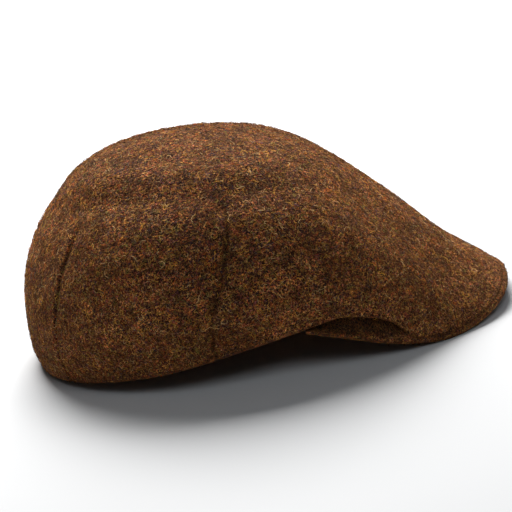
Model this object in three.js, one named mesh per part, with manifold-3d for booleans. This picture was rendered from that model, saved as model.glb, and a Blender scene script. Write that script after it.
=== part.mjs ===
// A flat cap of heather tweed: a rounded crown whose front runs out over a cloth-covered peak.
// Millimetres, +X to the front, +Z up. The cap is drawn with the edge of its headband level and
// is then tipped back until its hem and its peak both rest on the floor.
import * as THREE from 'three';
import { mergeVertices } from 'three/addons/utils/BufferGeometryUtils.js';
import Module from 'manifold-3d';

// Headband: the oval that the head goes into, measured outside the cloth
const HEAD_HALF_LENGTH = 104;
const HEAD_HALF_WIDTH = 85.5;

// Crown
const CROWN_HEIGHT = 100.5; // highest point above the headband
const APEX_BACK = 20; // how far the highest point lies behind the middle of the headband
const CLOTH = 2.2; // wall of wool tweed
const HEM_RISE = 1.5; // how much higher the hem is at the temples than at the back
const HEM_LEVEL_TO = 70; // degrees round from the back, where it begins to rise
const HEM_DEPTH = 12; // height of the turned-in hem
const HEM_EXTRA = 0.9; // how much thicker the hem is, all of it inside
const HEM_FULL = 0.6; // share of the hem's height over which it has that whole thickness
const FOLD_DEPTH = 1.3; // soft fold where the sides turn over into the top
const FOLD_WIDTH = 6;

// Peak
const TEMPLE_ANGLE = 104; // where the peak leaves the headband, in degrees round from the back
const PEAK_REACH = 44.5; // from the front of the headband to the edge of the crown's cloth
const PEAK_DROP = 34; // from the headband down to that edge, at the peak's front corners
const PEAK_ARCH = 4; // how much higher the middle of the front edge is than its corners
const CORNER_TURN = 45; // where those corners lie, in degrees round the peak
const PEAK_SQUARENESS = 2.3; // 2 gives an elliptic outline, more gives fuller corners
const PEAK_THICK = 4;
const PEAK_LEDGE = 3; // how far the peak shows beyond the edge of the crown's cloth
const PEAK_ROOT_INSET = 4; // how far its inner edge lies inside the headband's outside
const HORN_THICK = 1.2; // thickness of the peak's two tapered ends
const HORN_LENGTH = 18; // degrees round the peak over which an end tapers

// Opening between cloth and peak at each temple
const POCKET_HEIGHT = 12;
const POCKET_END = 27; // where the cloth meets the peak again, in degrees round the peak

// Darts
const DART_LEAN = 15; // how far the darts lean forward as they rise, in degrees round the crown
const LEAN_SKEW = 0.35; // how much more the crown's back leans than its sides, and its front less
const LEAN_TOP = 0.6; // share of the way to the top where the lean is complete
const LEAN_CURVE = 1.6; // the darts stand upright at first and lean more as they rise
const DART_DEPTH = 0.8;
const DART_WIDTH = 2.2;
const DART_END_ABOVE = 0.03; // a dart fades out between these shares of the way above and below
const DART_END_BELOW = 0.05; // its top
const PUCKER_DEPTH = 1.2; // dimple where the cloth gathers at the top of an ear dart
const PUCKER_RADIUS = 7;
const PUCKER_FLATNESS = 1.6; // the dimple is this much wider than it is high

// Seats
const SEAM_GAP = 0.3; // between the crown's cloth and the peak that it is sewn to
const FLOOR_PRESS = 0.45; // how much of the cloth the floor flattens

// Fineness of the faceted surfaces
const COLUMNS_EACH_SIDE = 54;
const OUTER_ROWS = 21;
const INNER_ROWS = 12;
const STATIONS_EACH_SIDE = 30;
const RIM_STEPS = 4;
const DART_COLUMNS = [-2.4, -1, 0, 1, 2.4]; // places of the net's columns at a dart, in its widths
const COLUMN_GAP = 0.6; // least angle between two columns, in degrees
const NORMAL_STEP = 0.01; // share of the way up over which the outward direction is taken
const NORMAL_TOP = 0.995; // share of the way up beyond which it is taken no further
const WELD = 0.0001; // points nearer than this are one point

const DEG = Math.PI / 180;
const BACK_TO_FRONT = 180; // degrees round the headband
const ROUND_PEAK = 90; // degrees round the peak, from the temple to the middle of the front
const TOP_OF_CURVE = 5 / 6; // share of a section's curve at which it has reached the highest point

// One row for each section of the crown, every 30 degrees from the back over the ear to the
// front. Each pair is a place on the section: how far out it lies from the upright line through
// the highest point, as a share of the section's reach, and how far above the headband, as a
// share of the crown's height. SIDES holds the two lower places and TOPS the two upper ones.
const SIDES = [
  { bellyOut: 1.005, bellyUp: 0.14, flankOut: 0.915, flankUp: 0.46 },
  { bellyOut: 1.025, bellyUp: 0.2, flankOut: 0.94, flankUp: 0.47 },
  { bellyOut: 1.06, bellyUp: 0.28, flankOut: 0.97, flankUp: 0.53 },
  { bellyOut: 1.06, bellyUp: 0.3, flankOut: 0.965, flankUp: 0.55 },
  { bellyOut: 0.985, bellyUp: 0.08, flankOut: 0.855, flankUp: 0.45 },
  { bellyOut: 0.9, bellyUp: -0.09, flankOut: 0.755, flankUp: 0.305 },
  { bellyOut: 0.872, bellyUp: -0.045, flankOut: 0.714, flankUp: 0.315 },
];
const TOPS = [
  { shoulderOut: 0.66, shoulderUp: 0.77, domeOut: 0.33, domeUp: 0.95 },
  { shoulderOut: 0.655, shoulderUp: 0.77, domeOut: 0.35, domeUp: 0.935 },
  { shoulderOut: 0.725, shoulderUp: 0.76, domeOut: 0.4, domeUp: 0.92 },
  { shoulderOut: 0.76, shoulderUp: 0.755, domeOut: 0.41, domeUp: 0.91 },
  { shoulderOut: 0.63, shoulderUp: 0.725, domeOut: 0.35, domeUp: 0.905 },
  { shoulderOut: 0.545, shoulderUp: 0.7, domeOut: 0.29, domeUp: 0.905 },
  { shoulderOut: 0.515, shoulderUp: 0.7, domeOut: 0.275, domeUp: 0.91 },
];

// The soft fold, every 30 degrees from back to front: the share of the way from hem to top at
// which its valley lies, and its depth as a share of the fold's depth
const FOLD = [
  { valley: 0.7, depth: 0.4 },
  { valley: 0.7, depth: 0.8 },
  { valley: 0.76, depth: 1.0 },
  { valley: 0.73, depth: 1.0 },
  { valley: 0.62, depth: 0.8 },
  { valley: 0.58, depth: 0.2 },
  { valley: 0.55, depth: 0.0 },
];

// The darts of one side: the degrees round from the back at which each leaves the hem, the share
// of the way to the top that it climbs, and how much the cloth puckers there
const DARTS = [
  { angle: 36, top: 0.6, pucker: 0.25 },
  { angle: 87.8, top: 0.56, pucker: 1.0 },
];

// The opening at the temple: height of the cloth's edge above the peak, as a share of the
// pocket's height, along the share of the pocket's length
const POCKET = [
  { along: 0.0, lift: 0.02 },
  { along: 0.15, lift: 0.4 },
  { along: 0.3, lift: 0.8 },
  { along: 0.5, lift: 0.97 },
  { along: 0.67, lift: 1.0 },
  { along: 0.82, lift: 0.83 },
  { along: 0.93, lift: 0.3 },
  { along: 1.0, lift: -0.08 },
];

const wasm = await Module();
wasm.setup();

// Value of one column of a table, along a smooth curve through its evenly spaced rows. The curve
// is level at both ends, because the cap is alike on both sides of its middle.
function throughRows(rows, column, share) {
  const last = rows.length - 1;
  const place = THREE.MathUtils.clamp(share, 0, 1) * last;
  const row = Math.min(Math.floor(place), last - 1);
  const value = (index) => rows[last - Math.abs(last - Math.abs(index))][column];
  const t = place - row;
  const startSlope = (value(row + 1) - value(row - 1)) / 2;
  const endSlope = (value(row + 2) - value(row)) / 2;
  const rise = value(row + 1) - value(row);
  const square = 3 * rise - 2 * startSlope - endSlope;
  const cube = startSlope + endSlope - 2 * rise;
  return value(row) + t * (startSlope + t * (square + t * cube));
}

// Value of one column of a table whose rows are placed by another column, on straight lines
// between the rows
function alongRows(rows, placeColumn, column, place) {
  const next = rows.findIndex((row) => row[placeColumn] >= place);
  if (next === 0) return rows[0][column];
  if (next < 0) return rows[rows.length - 1][column];
  const from = rows[next - 1];
  const to = rows[next];
  const share = (place - from[placeColumn]) / (to[placeColumn] - from[placeColumn]);
  return THREE.MathUtils.lerp(from[column], to[column], share);
}

const bump = (distance, width) => Math.exp(-((distance / width) ** 2));

// Outline of the cap from above, on the left side: 0 degrees is the back, 90 the ear and 180 the
// front. Behind the ear it is half an ellipse, and in front of it a squarer and longer half.
function outlinePoint(degrees) {
  const along = Math.cos(degrees * DEG);
  const across = Math.max(Math.sin(degrees * DEG), 0);
  const rise = HEM_RISE * THREE.MathUtils.smoothstep(degrees, HEM_LEVEL_TO, TEMPLE_ANGLE);
  if (degrees <= 90) {
    return new THREE.Vector3(-HEAD_HALF_LENGTH * along, HEAD_HALF_WIDTH * across, rise);
  }
  const power = 2 / PEAK_SQUARENESS;
  const front = (HEAD_HALF_LENGTH + PEAK_REACH) * (-along) ** power;
  return new THREE.Vector3(front, HEAD_HALF_WIDTH * across ** power, rise);
}

// Degrees round the headband for each degree round the peak, and both ways between them
const PER_TURN = (BACK_TO_FRONT - TEMPLE_ANGLE) / ROUND_PEAK;
const angleOf = (turn) => TEMPLE_ANGLE + PER_TURN * turn;
const turnOf = (degrees) => (degrees - TEMPLE_ANGLE) / PER_TURN;

// Edge of the cloth over the peak, where it is sewn down: turn runs from 0 at the temple to 90
// at the middle of the front
function seamPoint(turn) {
  const point = outlinePoint(angleOf(turn));
  const drop = PEAK_DROP * Math.sin(Math.min(turn / CORNER_TURN, 1) * Math.PI / 2);
  point.z += PEAK_ARCH * THREE.MathUtils.smoothstep(turn, CORNER_TURN, ROUND_PEAK) - drop;
  return point;
}

// Inner edge of the peak, against the forehead
function rootPoint(turn) {
  const temple = seamPoint(0);
  const front = HEAD_HALF_LENGTH - PEAK_ROOT_INSET;
  const x = temple.x + (front - temple.x) * Math.sin(turn * DEG);
  const y = (temple.y - PEAK_ROOT_INSET) * Math.cos(turn * DEG);
  return new THREE.Vector3(x, y, temple.z);
}

// Lower edge of the crown on the left side, 0 to 180 degrees round from the back
function footPoint(degrees) {
  if (degrees <= TEMPLE_ANGLE) return outlinePoint(degrees);
  const turn = turnOf(degrees);
  const point = seamPoint(turn);
  point.z += POCKET_HEIGHT * alongRows(POCKET, 'along', 'lift', turn / POCKET_END);
  return point;
}

// Point of the crown's smooth outside: degrees round from the back, negative on the right, and
// the share of the way from the lower edge (0) to the highest point (1)
function smoothPoint(degrees, share) {
  const side = degrees < 0 ? -1 : 1;
  const around = Math.abs(degrees);
  const foot = footPoint(around);
  const out = new THREE.Vector2(foot.x + APEX_BACK, foot.y);
  const at = (table, column) => throughRows(table, column, around / BACK_TO_FRONT);
  const dome = new THREE.Vector2(at(TOPS, 'domeOut'), at(TOPS, 'domeUp'));
  const section = new THREE.CatmullRomCurve3([
    new THREE.Vector3(1, foot.z / CROWN_HEIGHT, 0),
    new THREE.Vector3(at(SIDES, 'bellyOut'), at(SIDES, 'bellyUp'), 0),
    new THREE.Vector3(at(SIDES, 'flankOut'), at(SIDES, 'flankUp'), 0),
    new THREE.Vector3(at(TOPS, 'shoulderOut'), at(TOPS, 'shoulderUp'), 0),
    new THREE.Vector3(dome.x, dome.y, 0),
    new THREE.Vector3(0, 1, 0),
    new THREE.Vector3(-dome.x, dome.y, 0),
  ], false, 'centripetal');
  const place = section.getPoint(share * TOP_OF_CURVE);
  return new THREE.Vector3(
    out.x * place.x - APEX_BACK,
    side * out.y * place.x,
    CROWN_HEIGHT * place.y,
  );
}

// The columns of the crown's net lean forward as they rise, as the darts do
function leaning(degrees, share) {
  const angle = degrees * DEG;
  const climb = Math.min(share / LEAN_TOP, 1) ** LEAN_CURVE;
  return degrees + DART_LEAN * Math.sin(angle) * (1 + LEAN_SKEW * Math.cos(angle)) * climb;
}

function netPoint(degrees, share) {
  return smoothPoint(leaning(degrees, share), share);
}

// Outward direction of the crown's smooth outside
function netNormal(degrees, share) {
  const low = Math.max(share - NORMAL_STEP, 0);
  const high = Math.min(share + NORMAL_STEP, NORMAL_TOP);
  const around = netPoint(degrees + 1, share).sub(netPoint(degrees - 1, share));
  const up = netPoint(degrees, high).sub(netPoint(degrees, low));
  return around.cross(up).normalize().multiplyScalar(-1);
}

// How far the crown's outside lies from its smooth form: darts, puckers and the soft fold
function relief(degrees, share) {
  const side = Math.abs(degrees);
  const here = netPoint(degrees, share);
  const radius = Math.hypot(here.x + APEX_BACK, here.y);
  const around = Math.abs(leaning(degrees, share)) / BACK_TO_FRONT;
  const strength = FOLD_DEPTH * throughRows(FOLD, 'depth', around);
  const climb = (share - throughRows(FOLD, 'valley', around)) * CROWN_HEIGHT;
  const ridge = bump(climb - FOLD_WIDTH, FOLD_WIDTH);
  let height = strength * (ridge - bump(climb + FOLD_WIDTH, FOLD_WIDTH));
  for (const dart of DARTS) {
    const across = (side - dart.angle) * DEG * radius;
    const along = (share - dart.top) * CROWN_HEIGHT * PUCKER_FLATNESS;
    const fade = THREE.MathUtils.smoothstep(dart.top - share, -DART_END_ABOVE, DART_END_BELOW);
    const reach = Math.hypot(across, along);
    height -= DART_DEPTH * fade * bump(across, DART_WIDTH);
    height -= PUCKER_DEPTH * dart.pucker * bump(reach, PUCKER_RADIUS);
  }
  return height;
}

// Angles of the net's columns, evenly spread and drawn together at each dart
function columnAngles() {
  const half = [];
  for (let i = 1; i < COLUMNS_EACH_SIDE; i += 1) half.push(BACK_TO_FRONT * i / COLUMNS_EACH_SIDE);
  const dartTurn = DART_WIDTH / HEAD_HALF_WIDTH / DEG;
  for (const dart of DARTS) {
    for (const place of DART_COLUMNS) half.push(dart.angle + place * dartTurn);
  }
  for (const row of POCKET) half.push(angleOf(POCKET_END * row.along));
  half.sort((a, b) => a - b);
  const spread = half.filter((angle, i) => i === 0 || angle - half[i - 1] > COLUMN_GAP);
  return [0, ...spread, BACK_TO_FRONT, ...spread.map((angle) => -angle).reverse()];
}

// Solid from a closed geometry
function fromGeometry(geometry) {
  geometry.deleteAttribute('normal');
  geometry.deleteAttribute('uv');
  const merged = mergeVertices(geometry, WELD);
  return new wasm.Manifold(new wasm.Mesh({
    numProp: 3,
    vertProperties: Float32Array.from(merged.attributes.position.array),
    triVerts: Uint32Array.from(merged.index.array),
  }));
}

// Solid from its points and triangles
function toSolid(points, faces) {
  const geometry = new THREE.BufferGeometry();
  const numbers = points.flatMap((point) => point.toArray());
  geometry.setAttribute('position', new THREE.Float32BufferAttribute(numbers, 3));
  geometry.setIndex(faces.flat());
  return fromGeometry(geometry);
}

function toGeometry(solid) {
  const mesh = solid.getMesh();
  const geometry = new THREE.BufferGeometry();
  geometry.setAttribute('position', new THREE.BufferAttribute(mesh.vertProperties, 3));
  geometry.setIndex(new THREE.BufferAttribute(mesh.triVerts, 1));
  return geometry;
}

// One skin of the crown: rows of points from the lower edge up, and the single highest point
function crownSkin(angles, rows, depthAt, points) {
  const grid = [];
  for (let row = 0; row < rows; row += 1) {
    const share = row / rows;
    grid.push(angles.map((degrees) => {
      const out = depthAt(degrees, share);
      points.push(netPoint(degrees, share).addScaledVector(netNormal(degrees, share), out));
      return points.length - 1;
    }));
  }
  points.push(new THREE.Vector3(-APEX_BACK, 0, CROWN_HEIGHT + depthAt(0, 1)));
  return { grid, apex: points.length - 1 };
}

// Triangles between two closed rings of point numbers, facing outwards when flip is false
function bandFaces(lower, upper, flip) {
  const faces = [];
  lower.forEach((a, i) => {
    const next = (i + 1) % lower.length;
    const quad = [a, lower[next], upper[next], upper[i]];
    if (flip) quad.reverse();
    faces.push([quad[0], quad[1], quad[2]], [quad[0], quad[2], quad[3]]);
  });
  return faces;
}

function capFaces(ring, apex, flip) {
  return ring.map((a, i) => {
    const b = ring[(i + 1) % ring.length];
    return flip ? [b, a, apex] : [a, b, apex];
  });
}

function crownSolid() {
  const angles = columnAngles();
  const points = [];
  const wall = (share) => {
    const height = share * CROWN_HEIGHT;
    const hem = 1 - THREE.MathUtils.smoothstep(height, HEM_DEPTH * HEM_FULL, HEM_DEPTH);
    return CLOTH + HEM_EXTRA * hem;
  };
  const outer = crownSkin(angles, OUTER_ROWS, relief, points);
  const inner = crownSkin(angles, INNER_ROWS, (degrees, share) => -wall(share), points);
  const faces = [];
  for (let row = 1; row < OUTER_ROWS; row += 1) {
    faces.push(...bandFaces(outer.grid[row - 1], outer.grid[row], true));
  }
  for (let row = 1; row < INNER_ROWS; row += 1) {
    faces.push(...bandFaces(inner.grid[row - 1], inner.grid[row], false));
  }
  faces.push(...capFaces(outer.grid[OUTER_ROWS - 1], outer.apex, true));
  faces.push(...capFaces(inner.grid[INNER_ROWS - 1], inner.apex, false));
  faces.push(...bandFaces(inner.grid[0], outer.grid[0], true));
  return toSolid(points, faces);
}

// Section of the peak at one turn from the temple, as a closed ring of points, made larger all
// round by grow. It runs out along the top, round the rim and back underneath.
function peakSection(turn, side, grow) {
  const root = rootPoint(turn);
  const seam = seamPoint(turn);
  const behind = seamPoint(Math.max(turn - 1, 0));
  const ahead = seamPoint(Math.min(turn + 1, ROUND_PEAK)).sub(behind);
  const out = seam.clone().sub(root);
  const width = out.length();
  out.normalize();
  const up = ahead.cross(out).normalize();
  const taper = THREE.MathUtils.smoothstep(turn, 0, HORN_LENGTH);
  const thick = THREE.MathUtils.lerp(HORN_THICK, PEAK_THICK, taper) / 2 + grow;
  const ledge = THREE.MathUtils.lerp(HORN_THICK / 2, PEAK_LEDGE, taper) + grow;
  const nose = Math.min(thick, ledge);
  const middle = -SEAM_GAP - thick + grow;
  const at = (along, height) => {
    const point = root.clone().addScaledVector(out, along).addScaledVector(up, middle + height);
    point.y *= side;
    return point;
  };
  const ring = [at(-grow, thick), at(width / 2, thick), at(width, thick)];
  for (let step = 0; step <= RIM_STEPS; step += 1) {
    const turned = Math.PI * (1 / 2 - step / RIM_STEPS);
    const reach = width + ledge - nose + nose * Math.cos(turned);
    ring.push(at(reach, thick * Math.sin(turned)));
  }
  ring.push(at(width / 2, -thick), at(-grow, -thick));
  return ring;
}

function peakSolid(grow) {
  const rings = [];
  for (let i = -STATIONS_EACH_SIDE; i <= STATIONS_EACH_SIDE; i += 1) {
    const turn = ROUND_PEAK * (1 - Math.abs(i) / STATIONS_EACH_SIDE);
    rings.push(peakSection(turn, i < 0 ? -1 : 1, grow));
  }
  const points = rings.flat();
  const size = rings[0].length;
  const ringIndex = (ring) => rings[ring].map((point, i) => ring * size + i);
  const faces = [];
  for (let ring = 1; ring < rings.length; ring += 1) {
    faces.push(...bandFaces(ringIndex(ring - 1), ringIndex(ring), false));
  }
  const start = ringIndex(0);
  const end = ringIndex(rings.length - 1);
  for (let i = 1; i < size - 1; i += 1) {
    faces.push([start[0], start[i + 1], start[i]], [end[0], end[i], end[i + 1]]);
  }
  return toSolid(points, faces);
}

// How far the cap tips back on the floor: the line from the back of the hem that just touches
// the underside of the peak
function restTilt(peakGeometry) {
  const place = peakGeometry.attributes.position;
  let tilt = 0;
  for (let i = 0; i < place.count; i += 1) {
    tilt = Math.max(tilt, Math.atan2(-place.getZ(i), place.getX(i) + HEAD_HALF_LENGTH));
  }
  return tilt;
}

// Everything below the floor, which the cloth gives way to where it rests
function belowFloor() {
  const reach = 4 * (HEAD_HALF_LENGTH + PEAK_REACH);
  const box = new THREE.BoxGeometry(reach, reach, reach);
  box.translate(0, 0, -reach / 2);
  return fromGeometry(box);
}

// Tips a solid back by tilt, presses it on to the floor and cuts off what the floor flattens
function rested(solid, tilt) {
  const geometry = toGeometry(solid);
  geometry.rotateY(-tilt);
  geometry.translate(0, 0, HEAD_HALF_LENGTH * Math.sin(tilt) - FLOOR_PRESS);
  return toGeometry(fromGeometry(geometry).subtract(belowFloor()));
}

function named(name, geometry) {
  const tweed = new THREE.MeshStandardMaterial({ color: 0x54392a, roughness: 0.95, metalness: 0 });
  const mesh = new THREE.Mesh(geometry, tweed);
  mesh.name = name;
  return mesh;
}

const peakWhole = peakSolid(0);
const crownWhole = crownSolid().subtract(peakSolid(SEAM_GAP));
const tilt = restTilt(toGeometry(peakWhole));

const cap = new THREE.Group();
cap.add(named('crown', rested(crownWhole, tilt)), named('peak', rested(peakWhole, tilt)));
const middle = new THREE.Box3().setFromObject(cap).getCenter(new THREE.Vector3());
cap.position.set(-middle.x, -middle.y, 0);

export default cap;
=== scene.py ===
# %% [markdown]
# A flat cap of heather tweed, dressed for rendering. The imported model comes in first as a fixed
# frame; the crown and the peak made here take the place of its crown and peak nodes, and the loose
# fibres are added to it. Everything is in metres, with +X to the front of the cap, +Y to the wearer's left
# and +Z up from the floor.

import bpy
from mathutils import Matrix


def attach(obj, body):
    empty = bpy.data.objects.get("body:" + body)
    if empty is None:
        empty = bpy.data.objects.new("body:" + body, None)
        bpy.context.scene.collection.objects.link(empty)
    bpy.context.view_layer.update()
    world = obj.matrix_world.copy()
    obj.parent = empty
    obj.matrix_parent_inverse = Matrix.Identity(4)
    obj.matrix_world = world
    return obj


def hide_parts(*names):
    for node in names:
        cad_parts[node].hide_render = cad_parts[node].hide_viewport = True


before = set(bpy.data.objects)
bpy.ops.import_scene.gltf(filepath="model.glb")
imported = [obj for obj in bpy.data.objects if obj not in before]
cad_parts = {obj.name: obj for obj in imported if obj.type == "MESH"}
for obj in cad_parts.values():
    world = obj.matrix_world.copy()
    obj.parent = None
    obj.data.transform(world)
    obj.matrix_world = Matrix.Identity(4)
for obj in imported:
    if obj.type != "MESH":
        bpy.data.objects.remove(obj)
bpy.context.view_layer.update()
print("nodes:", sorted(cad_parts))

# %% [markdown]
# Blender's bmesh holds a mesh while operators shape it. Numpy works out thousands of points in
# one step, which keeps a file like this one quick to run.

# %% Modules
import math

import bmesh
import bpy
import numpy as np
from mathutils import Matrix, Vector

print("Blender", bpy.app.version_string)

# %% [markdown]
# The real cap is shaped by its cutting: cloth over the head, darts at the ears and the back, and
# a front that runs out over a curved peak. The same named sizes as in the solid model describe it
# here, with the edge of the headband level, and the finished cap is tipped back at the end. Cloth
# has no sharp changes, so a step with soft ends and a bump do nearly all the blending.

# %% Soft steps and bumps
MM = 0.001


def smooth_step(value, low, high):
    share = np.clip((value - low) / (high - low), 0, 1)
    return share * share * (3 - 2 * share)


def bump(distance, width):
    return np.exp(-((distance / width) ** 2))


print("soft step at a quarter:", smooth_step(0.25, 0, 1), "bump one width away:", round(bump(1, 1), 3))

# %% [markdown]
# From above, the cap is half an ellipse behind the ears and a longer, squarer half in front. One
# formula, the superellipse, draws both: only its power and its length change at the ear.

# %% Outline from above
HEAD_HALF_LENGTH = 104 * MM
HEAD_HALF_WIDTH = 85.5 * MM
PEAK_REACH = 44.5 * MM  # how far the peak stands out before the headband
PEAK_SQUARENESS = 2.3  # 2 is an ellipse
EAR = 90  # degrees round from the back
FRONT = 180
HEM_LEVEL_TO = 70  # degrees round from the back, where the hem begins to rise
TEMPLE_ANGLE = 104  # degrees round from the back, where the peak leaves the headband
HEM_RISE = 1.5 * MM


def outline(degrees):
    """Edge of the cap on its left side, for degrees round from the back."""
    along = np.cos(np.radians(degrees))
    across = np.clip(np.sin(np.radians(degrees)), 0, 1)
    ahead = degrees > EAR
    power = np.where(ahead, 2 / PEAK_SQUARENESS, 1)
    reach = np.where(ahead, HEAD_HALF_LENGTH + PEAK_REACH, HEAD_HALF_LENGTH)
    x = -np.sign(along) * reach * abs(along) ** power
    y = HEAD_HALF_WIDTH * across ** power
    z = HEM_RISE * smooth_step(degrees, HEM_LEVEL_TO, TEMPLE_ANGLE)
    return np.stack([x, y, z], -1)


print("temple, mm:", np.round(outline(np.array([TEMPLE_ANGLE])) * 1000, 1))

# %% [markdown]
# In front of the temples the cloth's lower edge is sewn along the peak. That seam drops from the
# temple to the front corner, as the peak curves down over the brow, and arches up a little again
# at the middle. It is the outline from above with a second curve for its height.

# %% Seam along the peak
PEAK_DROP = 34 * MM
PEAK_ARCH = 4 * MM
MIDDLE = 90  # turn at the middle of the front; it is 0 at the temple
CORNER = 45


def seam(turn):
    """Edge of the cloth on the peak, for a turn from the temple."""
    point = outline(TEMPLE_ANGLE + (FRONT - TEMPLE_ANGLE) * turn / MIDDLE)
    point[..., 2] += PEAK_ARCH * smooth_step(turn, CORNER, MIDDLE)
    point[..., 2] -= PEAK_DROP * np.sin(np.radians(np.minimum(2 * turn, 90)))
    return point


def turn_of(degrees):
    return np.clip(MIDDLE * (degrees - TEMPLE_ANGLE) / (FRONT - TEMPLE_ANGLE), 0, MIDDLE)


print("front of the seam, mm:", np.round(seam(np.array([float(MIDDLE)])) * 1000, 1))

# %% [markdown]
# At each temple the cloth lifts off the peak and leaves a pocket, a dark gap that shows in every
# cap of this kind. A short table gives its rise and fall along the peak.

# %% Lower edge of the cloth
POCKET_HEIGHT = 12 * MM
POCKET_END = 27  # turn where the cloth is sewn down again
POCKET_ALONG = [0.0, 0.15, 0.3, 0.5, 0.67, 0.82, 0.93, 1.0]
POCKET_LIFT = [0.02, 0.4, 0.8, 0.97, 1.0, 0.83, 0.3, 0.0]
SEWN_FROM = POCKET_END - 5
SEWN_TO = POCKET_END + 2


def foot(degrees):
    """Lower edge of the crown's cloth on the left side."""
    turn = turn_of(degrees)
    along_peak = seam(turn)
    along_peak[..., 2] += POCKET_HEIGHT * np.interp(turn / POCKET_END, POCKET_ALONG, POCKET_LIFT)
    return np.where((degrees > TEMPLE_ANGLE)[..., None], along_peak, outline(degrees))


def sewn_down(degrees):
    """1 where the cloth's edge is sewn along the peak, and 0 at the pocket and the hem."""
    return smooth_step(turn_of(abs(degrees)), SEWN_FROM, SEWN_TO)


print("lower edge at the pocket, mm:", np.round(foot(np.array([116.0])) * 1000, 1))

# %% [markdown]
# A section of the crown goes from its lower edge over the belly, flank, shoulder and dome to the
# highest point. Each table has one row for every 30 degrees round, from the back over the ear to
# the front: the way out as a share of the way to the lower edge, and the way up as a share of the
# crown's height. A smooth curve through a column gives the sections in between, so the form is
# changed by changing one number.

# %% Tables of the crown
BELLY_OUT = [1.005, 1.025, 1.06, 1.06, 0.985, 0.9, 0.872]
BELLY_UP = [0.14, 0.2, 0.28, 0.3, 0.08, -0.09, -0.045]
FLANK_OUT = [0.915, 0.94, 0.97, 0.965, 0.855, 0.755, 0.714]
FLANK_UP = [0.46, 0.47, 0.53, 0.55, 0.45, 0.305, 0.315]
SHOULDER_OUT = [0.66, 0.655, 0.725, 0.76, 0.63, 0.545, 0.515]
SHOULDER_UP = [0.77, 0.77, 0.76, 0.755, 0.725, 0.7, 0.7]
DOME_OUT = [0.33, 0.35, 0.4, 0.41, 0.35, 0.29, 0.275]
DOME_UP = [0.95, 0.935, 0.92, 0.91, 0.905, 0.905, 0.91]
SECTION_PLACES = (
    (BELLY_OUT, BELLY_UP),
    (FLANK_OUT, FLANK_UP),
    (SHOULDER_OUT, SHOULDER_UP),
    (DOME_OUT, DOME_UP),
)


def through_rows(column, share):
    """Value on a smooth curve through evenly spaced rows, level at both ends."""
    rows = np.asarray(column, float)
    last = len(rows) - 1
    place = np.clip(share, 0, 1) * last
    row = np.minimum(place.astype(int), last - 1)
    before, start, end, after = (rows[last - abs(last - abs(row + k))] for k in (-1, 0, 1, 2))
    t = place - row
    leave = (end - before) / 2
    arrive = (after - start) / 2
    rise = end - start
    bend = leave + arrive - 2 * rise
    return start + t * (leave + t * (3 * rise - 2 * leave - arrive + t * bend))


print("belly at the ear:", through_rows(BELLY_OUT, np.array([0.5])))

# %% [markdown]
# The curve of a section is the same kind of spline as in the solid model, one that keeps clear of
# loops where its points crowd. It is worked out here for all points of the cloth at once, which
# a Blender curve object could not do.

# %% Spline through a section
TINY = 1e-9  # keeps a gap of nothing from being divided by


def on_spline(points, place):
    """Point on a spline through points, an array of places for each share of the way."""
    stack = np.stack([2 * points[0] - points[1], *points, 2 * points[-1] - points[-2]])
    spans = len(points) - 1
    span = np.minimum((place * spans).astype(int), spans - 1)
    t = (place * spans - span)[..., None]
    rest = tuple(np.indices(span.shape))
    a, b, c, d = (stack[(span + k, *rest)] for k in range(4))
    pairs = ((a, b), (b, c), (c, d))
    gap = [np.sqrt(np.linalg.norm(q - p, axis=-1, keepdims=True)) + TINY for p, q in pairs]
    leave = gap[1] * ((b - a) / gap[0] - (c - a) / (gap[0] + gap[1]) + (c - b) / gap[1])
    arrive = gap[1] * ((c - b) / gap[1] - (d - b) / (gap[1] + gap[2]) + (d - c) / gap[2])
    bend = 2 * (b - c) + leave + arrive
    return b + t * (leave + t * (3 * (c - b) - 2 * leave - arrive + t * bend))


corner_line = [np.array([place]) for place in ((0.0, 0.0), (1.0, 0.0), (1.0, 1.0))]
print("half way round a corner:", on_spline(corner_line, np.array([0.5])))

# %% [markdown]
# The darts lean forward as they rise, because the cloth is pulled to the front over the head. So
# every column of the cloth leans with them: upright at the hem, and more the higher it climbs.

# %% Lean of the cloth
DART_LEAN = 15  # degrees
LEAN_SKEW = 0.35  # how much more the back leans than the front
LEAN_TOP = 0.6  # share of the way up where the lean is full
LEAN_CURVE = 1.6


def lean(degrees, share):
    angle = np.radians(degrees)
    climb = np.minimum(share / LEAN_TOP, 1) ** LEAN_CURVE
    return degrees + DART_LEAN * np.sin(angle) * (1 + LEAN_SKEW * np.cos(angle)) * climb


print("ear dart at its top, degrees:", round(float(lean(88.0, 0.56)), 1))

# %% [markdown]
# With outline, lower edge, sections and lean, any place on the smooth crown follows from two
# numbers: how far round, and how far up. The highest point lies a little behind the middle.

# %% Point on the crown
CROWN_HEIGHT = 100.5 * MM
APEX_BACK = 20 * MM  # how far the highest point lies behind the middle of the headband
TOP_OF_CURVE = 5 / 6  # the spline runs on over the top, so that the dome is level there


def crown_point(degrees, share):
    """Smooth outside of the crown: degrees from the back, negative on the right, and the share
    of the way from the lower edge to the highest point."""
    leaning = lean(degrees, share)
    side = np.where(leaning < 0, -1, 1)
    around = abs(leaning)
    low = foot(around)
    row = around / FRONT
    places = [np.stack([through_rows(out, row), through_rows(up, row)], -1) for out, up in SECTION_PLACES]
    start = np.stack([np.ones_like(row), low[..., 2] / CROWN_HEIGHT], -1)
    top = np.stack([np.zeros_like(row), np.ones_like(row)], -1)
    beyond = places[-1] * (-1, 1)
    place = on_spline([start, *places, top, beyond], share * TOP_OF_CURVE)
    x = (low[..., 0] + APEX_BACK) * place[..., 0] - APEX_BACK
    return np.stack([x, side * low[..., 1] * place[..., 0], CROWN_HEIGHT * place[..., 1]], -1)


ear = np.array([90.0]), np.array([0.3])
print("ear, mm:", np.round(crown_point(*ear) * 1000, 1))

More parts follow.
